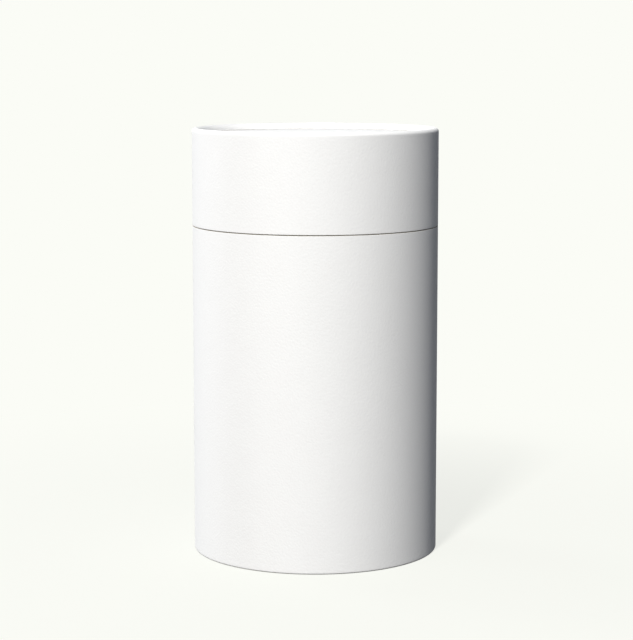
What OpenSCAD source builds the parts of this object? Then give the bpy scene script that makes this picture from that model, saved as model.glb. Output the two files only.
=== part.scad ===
// Cardboard cylinder box with a push-on lid.
// The body and the lid are wound paperboard tubes of one outside diameter, so they meet at a
// flush seam. A neck tube, glued inside the body, stands up into the lid and guides it.
// The lid's top edge is rolled inwards into a hem, and the lid's end disc sits under that hem.
// The base disc sits in the plain cut end of the body, under the neck.
// The origin is on the floor at the centre of the base, +Z is up, and sizes are in millimetres.

/* [Outer tubes] */
// Outside diameter of the body and the lid
outer_d = 88; // [50:1:160]
// Thickness of the board of the body and the lid
wall = 1.2; // [0.8:0.1:2.5]
// Height of the body, from the floor to the seam
body_h = 117.6; // [60:0.1:300]
// Height of the lid, from the seam to the top of its rim
lid_h = 34.7; // [24:0.1:80]

/* [Rolled rim] */
// Slit that the fold leaves between the wall and its turned-in edge
hem_gap = 0.2; // [0.1:0.05:0.6]
// Straight length of the turned-in edge, below the fold
hem_leg = 0.95; // [0.4:0.05:5]
// Radius of the turned-in edge where it meets the lid's disc, which shows as a thin dark line
hem_round = 0.35; // [0.1:0.05:0.35]

/* [Neck] */
// Thickness of the board of the neck
neck_wall = 1.1; // [0.8:0.1:2.5]
// Radial clearance of the neck in the body and in the lid
fit_gap = 0.2; // [0.1:0.05:0.5]
// Space between the neck's top edge and the lid's disc
headroom = 9; // [1:0.5:15]

/* [End discs] */
// Thickness of the lid's disc
lid_disc_t = 1.5; // [0.8:0.1:4]
// Thickness of the base disc
base_disc_t = 1.5; // [0.8:0.1:4]
// Radial clearance at the glued edge of a disc
disc_gap = 0.1; // [0.05:0.05:0.5]
// Height of the base disc's underside above the floor
base_inset = 0.8; // [0.2:0.1:6]

/* [Cut edges] */
// How far the knife's bevel opens each edge of the seam at the outside
seam_bevel = 0.2; // [0.05:0.01:0.4]
// Width of the flat ring beside the bore, where the lid rests on the body
seam_land = 0.3; // [0.2:0.05:0.6]
// Radius of the body's outer edge at the floor
foot_round = 0.6; // [0.1:0.05:0.7]
// Radius of the body's inner edge at the floor
inner_round = 0.15; // [0.05:0.05:0.2]
// Radius of the two edges at the neck's top
neck_round = 0.25; // [0.1:0.05:0.35]

/* [Hidden] */
$fn = 96;

wrap_white = "#f6f6f3";
liner_white = "#eeede8";

// The shared bore of the body and the lid, which are cut from the same tube
outer_r = outer_d / 2;
bore_r = outer_r - wall;
disc_r = bore_r - disc_gap;

// The rolled rim: a fold of the wall about a centre inside its top edge
fold_r = wall + hem_gap / 2;
rim_top = body_h + lid_h;
fold_z = rim_top - fold_r;
leg_outer_r = outer_r - wall - hem_gap;
leg_end_z = fold_z - hem_leg;

// The stack from the floor up: base disc, neck, and the free space under the lid's disc
neck_r = bore_r - fit_gap;
neck_foot_z = base_inset + base_disc_t;
lid_disc_z = leg_end_z - lid_disc_t;
neck_top_z = lid_disc_z - headroom;

// What easing takes off a corner at the origin, whose material lies towards -X and -Y
module corner_cut(r) {
    difference() {
        translate([-r, -r]) square(2 * r);
        translate([-r, -r]) circle(r);
    }
}

// Half section of an outer wall, from the seam to its other end.
// A wedge-shaped knife cuts the seam from outside, so each edge slopes back outside a flat land.
module outer_wall(end_z) {
    slope = end_z < body_h ? -seam_bevel : seam_bevel;
    polygon([
        [bore_r, body_h],
        [bore_r + seam_land, body_h],
        [outer_r, body_h + slope],
        [outer_r, end_z],
        [bore_r, end_z],
    ]);
}

// Half section of the fold: the upper half of a ring as thick as the board
module fold_section() {
    intersection() {
        translate([outer_r - fold_r, fold_z]) difference() {
            circle(fold_r);
            circle(hem_gap / 2);
        }
        translate([outer_r - 2 * fold_r, fold_z]) square([2 * fold_r, fold_r]);
    }
}

// Half section of the turned-in edge that hangs from the fold, eased where it meets the disc
module hem_section() {
    difference() {
        translate([leg_outer_r - wall, leg_end_z]) square([wall, fold_z - leg_end_z]);
        translate([leg_outer_r - wall, leg_end_z]) mirror([1, 0]) mirror([0, 1]) corner_cut(hem_round);
    }
}

// Lower tube: its eased end stands on the floor and its edge of the seam carries the lid
module body_tube() {
    color(wrap_white) rotate_extrude() difference() {
        outer_wall(0);
        translate([outer_r, 0]) mirror([0, 1]) corner_cut(foot_round);
        translate([bore_r, 0]) mirror([1, 0]) mirror([0, 1]) corner_cut(inner_round);
    }
}

// Disc glued into the body's lower end, just above the floor
module base_disc() {
    color(liner_white) translate([0, 0, base_inset]) cylinder(r = disc_r, h = base_disc_t);
}

// Inner tube: it stands on the base disc, is glued to the body and guides the lid
module neck_tube() {
    color(liner_white) rotate_extrude() difference() {
        translate([neck_r - neck_wall, neck_foot_z]) square([neck_wall, neck_top_z - neck_foot_z]);
        translate([neck_r, neck_top_z]) corner_cut(neck_round);
        translate([neck_r - neck_wall, neck_top_z]) mirror([1, 0]) corner_cut(neck_round);
    }
}

// Lid wall: it rises from the seam, folds inwards at the rim and ends on the disc
module lid_tube() {
    color(wrap_white) rotate_extrude() {
        outer_wall(fold_z);
        fold_section();
        hem_section();
    }
}

// Disc glued into the lid, against the end of the turned-in edge
module lid_disc() {
    color(wrap_white) translate([0, 0, lid_disc_z]) cylinder(r = disc_r, h = lid_disc_t);
}

body_tube();
base_disc();
neck_tube();
lid_tube();
lid_disc();
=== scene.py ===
import math

import bmesh
import bpy
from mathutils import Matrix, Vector


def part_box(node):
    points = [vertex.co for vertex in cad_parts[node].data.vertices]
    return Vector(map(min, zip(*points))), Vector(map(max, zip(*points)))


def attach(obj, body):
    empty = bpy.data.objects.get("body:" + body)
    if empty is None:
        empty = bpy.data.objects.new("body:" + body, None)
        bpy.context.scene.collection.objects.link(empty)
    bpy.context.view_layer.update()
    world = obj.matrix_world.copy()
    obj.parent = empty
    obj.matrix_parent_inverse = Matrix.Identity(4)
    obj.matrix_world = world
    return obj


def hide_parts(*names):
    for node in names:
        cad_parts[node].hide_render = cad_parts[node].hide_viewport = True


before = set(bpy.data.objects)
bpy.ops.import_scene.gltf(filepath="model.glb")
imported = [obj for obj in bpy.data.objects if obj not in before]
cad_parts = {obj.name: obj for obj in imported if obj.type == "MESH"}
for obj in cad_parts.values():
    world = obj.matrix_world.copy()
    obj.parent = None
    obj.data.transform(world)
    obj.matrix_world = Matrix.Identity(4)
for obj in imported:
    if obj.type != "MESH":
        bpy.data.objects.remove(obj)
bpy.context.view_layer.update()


# Body tube
# The tall lower wall of the box: grey board wound to a tube, with white paper wrapped round it as
# the last turn, then cut to length. It stands on one plain cut end, and the lid rests on the other.
mm = 0.001
body_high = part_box("body_tube")[1]
outer_r = body_high.x
seam_z = body_high.z
board = 1.2 * mm
bore_r = outer_r - board
seam_bevel = 0.2 * mm
seam_land = 0.3 * mm
land_r = bore_r + seam_land
foot_round = 0.6 * mm
inner_round = 0.15 * mm
knife_round = 0.06 * mm
holding_loop = 0.5 * mm  # a ring of faces beside each rounded edge keeps the shading of the wall flat
same_place = 0.001 * mm  # points closer than this are one point


def eased(before, corner, after, radius, split=3):
    """Points in six steps round a corner of the half section, where radius and height are x and y.

    They come in two runs, because the finish changes after as many steps as split says.
    """
    steps = 6
    here = Vector(corner)
    back = (Vector(before) - here).normalized()
    on = (Vector(after) - here).normalized()
    half = back.angle(on) / 2
    centre = here + (back + on).normalized() * radius / math.sin(half)
    start = here + back * radius / math.tan(half) - centre
    end = here + on * radius / math.tan(half) - centre
    points = [tuple(centre + radius * start.slerp(end, step / steps)) for step in range(steps + 1)]
    return points[: split + 1], points[split:]


def turned(*stretches, columns=256):
    """A bmesh turned about the box's axis. Each stretch of its half section becomes one finish."""
    shape = bmesh.new()
    for finish, points in enumerate(stretches):
        known = set(shape.faces)
        corners = [shape.verts.new((radius, 0, height)) for radius, height in points]
        sides = [shape.edges.new(pair) for pair in zip(corners, corners[1:])]
        bmesh.ops.spin(
            shape,
            geom=corners + sides,
            cent=(0, 0, 0),
            axis=(0, 0, 1),
            angle=math.tau,
            steps=columns,
            use_merge=True,
        )
        for face in set(shape.faces) - known:
            face.material_index = finish
    bmesh.ops.remove_doubles(shape, verts=shape.verts, dist=same_place)
    bmesh.ops.recalc_face_normals(shape, faces=shape.faces)
    return shape


def lap_paper(shape, heading):
    """Raises the overlap of the wrap, finish 0: a sharp paper edge, a flat strip and a slow run-out.

    Inside a rolled rim the forming die has pressed it flat.
    """
    thickness = 0.1 * mm
    cut_face = 0.06 * mm
    strip = 7 * mm
    run_out = 4 * mm

    def along(place):
        """Distance round the wall from the paper's edge."""
        turn = math.atan2(place.y, place.x) - math.radians(heading)
        return outer_r * ((turn + math.pi) % math.tau - math.pi)

    wrap_faces = [face for face in shape.faces if face.material_index == 0]
    near = [face for face in wrap_faces if abs(along(face.calc_center_median())) < strip]
    for distance in (0, cut_face):
        edge_heading = math.radians(heading) + distance / outer_r
        parts = {part for face in near for part in (face, *face.edges, *face.verts)}
        cut = bmesh.ops.bisect_plane(
            shape,
            geom=list(parts),
            dist=same_place,
            plane_co=(0, 0, 0),
            plane_no=(-math.sin(edge_heading), math.cos(edge_heading), 0),
        )
        near = [part for part in cut["geom"] if isinstance(part, bmesh.types.BMFace)]
        for part in cut["geom_cut"]:
            if isinstance(part, bmesh.types.BMEdge):
                part.smooth = False
    shape.normal_update()
    wrap_points = {point for face in shape.faces if face.material_index == 0 for point in face.verts}
    lifts = []
    for point in wrap_points:
        distance = along(point.co)
        if cut_face / 2 < distance < strip + run_out:
            outward = Vector((point.co.x, point.co.y, 0)).normalized()
            standing = min(1, 1 + point.normal.dot(outward))  # 0 where the paper faces the axis
            fade = min(1, (strip + run_out - distance) / run_out)
            lifts.append((point, thickness * standing * fade))
    for point, lift in lifts:
        point.co += point.normal * lift
    shape.normal_update()


def piece(name, shape, node_name, body, slot, *finishes):
    """Makes the finished piece that stands for a node and moves with its body."""
    mesh = bpy.data.meshes.new(name)
    for face in shape.faces:
        face.smooth = True
    shape.to_mesh(mesh)
    shape.free()
    for finish in finishes:
        mesh.materials.append(finish)
    made = bpy.data.objects.new(name, mesh)
    bpy.context.scene.collection.objects.link(made)
    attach(made, body)
    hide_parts(node_name)


def linear(code):
    """A hex sRGB colour as linear RGBA."""
    colour = []
    for start in (1, 3, 5):
        share = int(code[start : start + 2], 16) / 255
        colour.append(share / 12.92 if share <= 0.04045 else ((share + 0.055) / 1.055) ** 2.4)
    return colour + [1]


def add(tree, kind, inputs, **settings):
    """Adds a node with its settings. inputs gives a socket its value, or the output that feeds it."""
    made = tree.nodes.new(kind)
    for name, value in settings.items():
        setattr(made, name, value)
    for socket, value in inputs.items():
        if isinstance(value, bpy.types.NodeSocket):
            tree.links.new(value, made.inputs[socket])
        else:
            made.inputs[socket].default_value = value
    return made


def new_material(name):
    """An empty node material."""
    made = bpy.data.materials.new(name)
    made.use_nodes = True
    made.node_tree.nodes.clear()
    return made, made.node_tree


# Matt coated wrapping paper: a clean warm white without shine. Its fine tooth shows as grain where
# light grazes it, and its fibres form faint clouds. Real tooth is about 0.1 mm, and it is drawn at
# 0.7 mm to show.
tooth = 0.7 * mm
tooth_depth = 0.07 * mm
cloud = 8 * mm
cloud_share = 0.35
wrap_shade = linear("#F3F2F1")
wrap_white = linear("#FBFBFA")
wrap_paper, tree = new_material("matt_coated_paper")
place = add(tree, "ShaderNodeTexCoord", {}).outputs["Object"]
clouds = add(tree, "ShaderNodeTexNoise", {"Vector": place, "Scale": 1 / cloud, "Detail": 3})
teeth = add(tree, "ShaderNodeTexNoise", {"Vector": place, "Scale": 1 / tooth, "Detail": 2})
grain = add(
    tree,
    "ShaderNodeMix",
    {"Factor": cloud_share, 2: teeth.outputs[0], 3: clouds.outputs[0]},
    data_type="FLOAT",
)
colour = add(
    tree,
    "ShaderNodeMix",
    {"Factor": grain.outputs[0], 6: wrap_shade, 7: wrap_white},
    data_type="RGBA",
)
roughness = add(
    tree,
    "ShaderNodeMapRange",
    {"Value": clouds.outputs[0], "To Min": 0.76, "To Max": 0.88},
)
bump = add(
    tree,
    "ShaderNodeBump",
    {"Height": teeth.outputs[0], "Distance": tooth_depth, "Strength": 1},
)
surface = add(
    tree,
    "ShaderNodeBsdfPrincipled",
    {
        "Base Color": colour.outputs[2],
        "Roughness": roughness.outputs[0],
        "Specular IOR Level": 0.12,
        "Normal": bump.outputs[0],
    },
)
add(tree, "ShaderNodeOutputMaterial", {"Surface": surface.outputs[0]})

# Cut grey board: the knife-cut edge of the wound tube, with its plies as pale and dark rings and a
# dull, fibrous face. Plies are about 0.3 mm and fibres far finer, and they are drawn at 0.4 mm and
# 0.3 mm to show.
ply = 0.4 * mm
ring_turn = 20  # radians that the ring texture turns per unit
fibre = 0.3 * mm
fibre_depth = 0.05 * mm
ply_dark = linear("#BDB8AE")
ply_pale = linear("#DCD8D0")
cut_board, tree = new_material("cut_grey_board")
place = add(tree, "ShaderNodeTexCoord", {}).outputs["Object"]
plies = add(
    tree,
    "ShaderNodeTexWave",
    {
        "Vector": place,
        "Scale": math.tau / ring_turn / ply,
        "Distortion": 1.2,
        "Detail": 2,
        "Detail Scale": 1.5,
    },
    wave_type="RINGS",
    rings_direction="Z",
)
fibres = add(tree, "ShaderNodeTexNoise", {"Vector": place, "Scale": 1 / fibre, "Detail": 3})
colour = add(
    tree,
    "ShaderNodeMix",
    {"Factor": plies.outputs[1], 6: ply_dark, 7: ply_pale},
    data_type="RGBA",
)
bump = add(
    tree,
    "ShaderNodeBump",
    {"Height": fibres.outputs[0], "Distance": fibre_depth, "Strength": 1},
)
surface = add(
    tree,
    "ShaderNodeBsdfPrincipled",
    {
        "Base Color": colour.outputs[2],
        "Roughness": 0.92,
        "Specular IOR Level": 0.2,
        "Normal": bump.outputs[0],
    },
)
add(tree, "ShaderNodeOutputMaterial", {"Surface": surface.outputs[0]})

# Uncoated liner paper: a duller, warmer white than the wrap, with a coarser tooth and a few short
# grey fibres. On a tube it is wound from a strip, and a thin groove climbs round where its turns meet.
fleck = 0.9 * mm
fleck_depth = 0.03 * mm
fleck_from = 0.28  # noise below this is a grey fibre
fleck_to = 0.36  # noise above this is plain paper
liner_grey = linear("#D8D5CC")
liner_white = linear("#F1EFEA")
strip_lead = 150 * mm
joint_height = 78 * mm  # where the groove crosses the +X side
joint_width = 0.6 * mm
joint_depth = 0.08 * mm


def uncoated_paper(name, wound):
    """Liner paper, with the groove between its turns where it is wound on a tube."""
    made, tree = new_material(name)
    place = add(tree, "ShaderNodeTexCoord", {}).outputs["Object"]
    flecks = add(tree, "ShaderNodeTexNoise", {"Vector": place, "Scale": 1 / fleck, "Detail": 4})
    whiteness = add(
        tree,
        "ShaderNodeMapRange",
        {"Value": flecks.outputs[0], "From Min": fleck_from, "From Max": fleck_to},
    )
    bump = add(
        tree,
        "ShaderNodeBump",
        {"Height": flecks.outputs[0], "Distance": fleck_depth, "Strength": 1},
    )
    if wound:
        axes = add(tree, "ShaderNodeSeparateXYZ", {"Vector": place})
        turn = add(
            tree,
            "ShaderNodeMath",
            {0: axes.outputs["Y"], 1: axes.outputs["X"]},
            operation="ARCTAN2",
        )
        climb = add(
            tree,
            "ShaderNodeMath",
            {0: turn.outputs[0], 1: strip_lead / math.tau, 2: axes.outputs["Z"]},
            operation="MULTIPLY_ADD",
        )
        past_joint = add(
            tree,
            "ShaderNodeMath",
            {0: climb.outputs[0], 1: joint_height},
            operation="SUBTRACT",
        )
        to_joint = add(
            tree,
            "ShaderNodeMath",
            {0: past_joint.outputs[0], 1: strip_lead / 2},
            operation="PINGPONG",
        )
        joint = add(
            tree,
            "ShaderNodeMapRange",
            {"Value": to_joint.outputs[0], "From Min": 0, "From Max": joint_width / 2},
        )
        whiteness = add(
            tree,
            "ShaderNodeMath",
            {0: joint.outputs[0], 1: whiteness.outputs[0]},
            operation="MULTIPLY",
        )
        bump = add(
            tree,
            "ShaderNodeBump",
            {
                "Height": joint.outputs[0],
                "Distance": joint_depth,
                "Strength": 1,
                "Normal": bump.outputs[0],
            },
        )
    colour = add(
        tree,
        "ShaderNodeMix",
        {"Factor": whiteness.outputs[0], 6: liner_grey, 7: liner_white},
        data_type="RGBA",
    )
    surface = add(
        tree,
        "ShaderNodeBsdfPrincipled",
        {
            "Base Color": colour.outputs[2],
            "Roughness": 0.85,
            "Specular IOR Level": 0.2,
            "Normal": bump.outputs[0],
        },
    )
    add(tree, "ShaderNodeOutputMaterial", {"Surface": surface.outputs[0]})
    return made


liner_paper = uncoated_paper("uncoated_liner_paper", wound=True)

foot_split = 4  # the wrap goes only the last two of the six steps round the foot's edge
foot_under, foot_side = eased((bore_r, 0), (outer_r, 0), (outer_r, seam_z), foot_round, foot_split)
lip_side, lip_top = eased((outer_r, 0), (outer_r, seam_z - seam_bevel), (land_r, seam_z), knife_round)
mouth_top, mouth_bore = eased((land_r, seam_z), (bore_r, seam_z), (bore_r, 0), knife_round)
heel_bore, heel_under = eased((bore_r, seam_z), (bore_r, 0), (outer_r, 0), inner_round)
body_side = [(outer_r, foot_round + holding_loop), (outer_r, seam_z - seam_bevel - holding_loop)]
body_bore = [(bore_r, seam_z - holding_loop), (bore_r, inner_round + holding_loop)]
body_shape = turned(
    foot_side + body_side + lip_side,
    lip_top + [(land_r, seam_z)] + mouth_top,
    mouth_bore + body_bore + heel_bore,
    heel_under + foot_under,
)
lap_paper(body_shape, heading=97)
tube_finishes = (wrap_paper, cut_board, liner_paper, cut_board)
piece("body_wall", body_shape, "body_tube", "base", "white_wrap", *tube_finishes)


# Base disc
# The round panel that closes the lower end of the body: die-cut board with paper on both faces,
# glued in just above the floor. Its inner paper is the liner's, as a flat sheet without a groove.
base_low, base_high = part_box("base_disc")
disc_edge = 0.15 * mm
panel_paper = uncoated_paper("uncoated_panel_paper", wound=False)


def disc(low, high):
    """A flat panel: its top, cut edge and underside are finishes 0, 1 and 2."""
    radius = high.x
    upper_face, upper_edge = eased((0, high.z), (radius, high.z), (radius, low.z), disc_edge)
    lower_edge, lower_face = eased((radius, high.z), (radius, low.z), (0, low.z), disc_edge)
    return turned(
        [(0, high.z), (radius / 2, high.z)] + upper_face,
        upper_edge + lower_edge,
        lower_face + [(radius / 2, low.z), (0, low.z)],
    )


base_shape = disc(base_low, base_high)
base_finishes = (panel_paper, cut_board, wrap_paper)
piece("base_panel", base_shape, "base_disc", "base", "white_liner", *base_finishes)


# Neck tube
# The inner tube that holds the lid: a second wound tube, lined with paper inside and out, pushed
# into the body on top of the base disc and glued. Its top edge is sanded so that the lid slides on.
neck_low, neck_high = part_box("neck_tube")
neck_r = neck_high.x
neck_board = 1.1 * mm
neck_bore_r = neck_r - neck_board
neck_round = 0.25 * mm
neck_loop_z = neck_high.z - neck_round - holding_loop
outer_foot = (neck_r, neck_low.z)
outer_top = (neck_r, neck_high.z)
inner_top = (neck_bore_r, neck_high.z)
inner_foot = (neck_bore_r, neck_low.z)
neck_side, neck_edge_out = eased(outer_foot, outer_top, inner_top, neck_round)
neck_edge_in, neck_bore = eased(outer_top, inner_top, inner_foot, neck_round)
neck_shape = turned(
    [outer_foot, (neck_r, neck_loop_z)] + neck_side,
    neck_edge_out + neck_edge_in,
    neck_bore + [(neck_bore_r, neck_loop_z), inner_foot],
    [inner_foot, outer_foot],
)
neck_finishes = (liner_paper, cut_board, liner_paper, cut_board)
piece("neck", neck_shape, "neck_tube", "base", "white_liner", *neck_finishes)


# Lid tube
# The lid's wall, cut from the same tube as the body. A forming die rolls its top edge inwards and
# down, so the white wrap goes over the rim and ends on the disc.
lid_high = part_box("lid_tube")[1]
disc_low, disc_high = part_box("lid_disc")
fold_gap = 0.2 * mm
fold_r = board + fold_gap / 2
fold_z = lid_high.z - fold_r
fold_centre_r = outer_r - fold_r
leg_r = bore_r - fold_gap
leg_inner_r = leg_r - board
leg_end = (leg_r, disc_high.z)
hem_round = 0.35 * mm


def fold(radius, start, end):
    """Points of the fold's half circle in the half section, between two angles in degrees."""
    steps = 24
    points = []
    for step in range(steps + 1):
        angle = math.radians(start + (end - start) * step / steps)
        points.append((fold_centre_r + radius * math.cos(angle), fold_z + radius * math.sin(angle)))
    return points


lip_under, lip_side = eased(
    (land_r, seam_z), (outer_r, seam_z + seam_bevel), (outer_r, fold_z), knife_round
)
mouth_bore, mouth_under = eased((bore_r, fold_z), (bore_r, seam_z), (land_r, seam_z), knife_round)
hem_side, hem_under = eased((leg_inner_r, fold_z), (leg_inner_r, disc_high.z), leg_end, hem_round)
lid_side = [(outer_r, seam_z + seam_bevel + holding_loop), (outer_r, fold_z - holding_loop)]
lid_bore = [(bore_r, fold_z - holding_loop), (bore_r, seam_z + holding_loop)]
lid_shape = turned(
    lip_side + lid_side + fold(fold_r, 0, 180) + hem_side,
    hem_under + [leg_end],
    [leg_end] + fold(fold_gap / 2, 180, 0) + lid_bore + mouth_bore,
    mouth_under + [(land_r, seam_z)] + lip_under,
)
lap_paper(lid_shape, heading=80)
piece("lid_wall", lid_shape, "lid_tube", "lid", "white_wrap", *tube_finishes)


# Lid disc
# The round panel that closes the lid: die-cut board faced with the same white paper, glued in
# against the end of the rolled edge, so that it sits a little below the rim.
top_shape = disc(disc_low, disc_high)
top_finishes = (wrap_paper, cut_board, panel_paper)
piece("lid_panel", top_shape, "lid_disc", "lid", "white_wrap", *top_finishes)


# Floor and backdrop
# A plain ivory sweep. The camera sees its colour evenly, with a share of real light for the soft
# shadow at the foot. It sends little light back, as a floor does that ends just outside the view.
sweep = linear("#FBFCF6")
sweep_lit = linear("#E4E5DF")  # a shade darker, because the lamps light the floor a little over level 1
sweep_dim = linear("#4A4A4A")  # what the floor gives back to the box
floor_reach = 3.0
shadow_share = 0.2
shadow_near = 50 * mm  # from here the share of real light fades, to nothing at shadow_far
shadow_far = 300 * mm


def seen_directly(tree):
    """1 for what the camera sees, also in a gloss or through glass, and 0 for light on its way."""
    path = add(tree, "ShaderNodeLightPath", {})
    shown = path.outputs["Is Camera Ray"]
    for ray in ("Is Glossy Ray", "Is Transmission Ray"):
        either = add(tree, "ShaderNodeMath", {0: shown, 1: path.outputs[ray]}, operation="MAXIMUM")
        shown = either.outputs[0]
    return shown


floor_shape = bmesh.new()
bmesh.ops.create_grid(floor_shape, x_segments=1, y_segments=1, size=floor_reach)
floor_mesh = bpy.data.meshes.new("floor")
floor_shape.to_mesh(floor_mesh)
floor_shape.free()
floor = bpy.data.objects.new("floor", floor_mesh)
bpy.context.scene.collection.objects.link(floor)
floor_paint, tree = new_material("ivory_floor_paint")
place = add(tree, "ShaderNodeTexCoord", {}).outputs["Object"]
distance = add(tree, "ShaderNodeVectorMath", {0: place}, operation="LENGTH")
share = add(
    tree,
    "ShaderNodeMapRange",
    {
        "Value": distance.outputs["Value"],
        "From Min": shadow_near,
        "From Max": shadow_far,
        "To Min": shadow_share,
        "To Max": 0,
    },
    interpolation_type="SMOOTHSTEP",
)
even = add(tree, "ShaderNodeEmission", {"Color": sweep, "Strength": 1.0})
lit = add(tree, "ShaderNodeBsdfDiffuse", {"Color": sweep_lit})
seen = add(tree, "ShaderNodeMixShader", {0: share.outputs[0], 1: even.outputs[0], 2: lit.outputs[0]})
dim = add(tree, "ShaderNodeBsdfDiffuse", {"Color": sweep_dim})
shown = seen_directly(tree)
both = add(tree, "ShaderNodeMixShader", {0: shown, 1: dim.outputs[0], 2: seen.outputs[0]})
add(tree, "ShaderNodeOutputMaterial", {"Surface": both.outputs[0]})
floor_mesh.materials.append(floor_paint)


# Studio light
# A soft key lamp high in front, a little to the left. A larger lamp behind the left side evens out
# the white, a weak one lights the back, and a faint even fill leaves the right side grey.
fill_colour = linear("#E2EBFD")
fill_level = 0.195
lamp_distance = 3.5
lit_centre = Vector((0, 0, 80 * mm))
world = bpy.data.worlds.new("studio")
bpy.context.scene.world = world
world.use_nodes = True
tree = world.node_tree
tree.nodes.clear()
fill = add(tree, "ShaderNodeBackground", {"Color": fill_colour, "Strength": fill_level})
backdrop = add(tree, "ShaderNodeBackground", {"Color": sweep, "Strength": 1.0})
shown = seen_directly(tree)
both = add(tree, "ShaderNodeMixShader", {0: shown, 1: fill.outputs[0], 2: backdrop.outputs[0]})
add(tree, "ShaderNodeOutputWorld", {"Surface": both.outputs[0]})


def lamp(name, heading, rise, size, level, tint):
    """A square soft lamp. heading and rise are degrees to the right of the camera's side, and up.

    At level 1, a surface that faces the lamp shows its colour as it is written.
    """
    data = bpy.data.lights.new(name, "AREA")
    data.size = size
    data.color = linear(tint)[:3]
    data.energy = level * (math.pi * lamp_distance) ** 2  # watts that give this level at the box
    made = bpy.data.objects.new(name, data)
    bpy.context.scene.collection.objects.link(made)
    side = math.radians(heading)
    up = math.radians(rise)
    away = Vector((math.sin(side) * math.cos(up), -math.cos(side) * math.cos(up), math.sin(up)))
    made.location = lit_centre + away * lamp_distance
    made.rotation_euler = away.to_track_quat("Z", "Y").to_euler()


lamp("key", heading=-17.5, rise=40, size=0.37, level=1.18, tint="#FFFEFB")
lamp("left_back", heading=-127, rise=8, size=1.2, level=0.64, tint="#FBFDFF")
lamp("back", heading=178, rise=6, size=1.2, level=0.3, tint="#FBFDFF")


# Camera
# A long lens at the photograph's viewing angle: it stands a little above the lid and is tilted down
# at the middle of the box.
camera_place = Vector((0.43, -739.3, 182.9)) * mm
camera_tilt = 7.70
camera_data = bpy.data.cameras.new("camera")
camera_data.sensor_width = 36
camera_data.lens = 116.16
camera = bpy.data.objects.new("camera", camera_data)
bpy.context.scene.collection.objects.link(camera)
camera.location = camera_place
camera.rotation_euler = (math.radians(90 - camera_tilt), 0, 0)
bpy.context.scene.camera = camera
bpy.context.scene.view_settings.view_transform = "Standard"
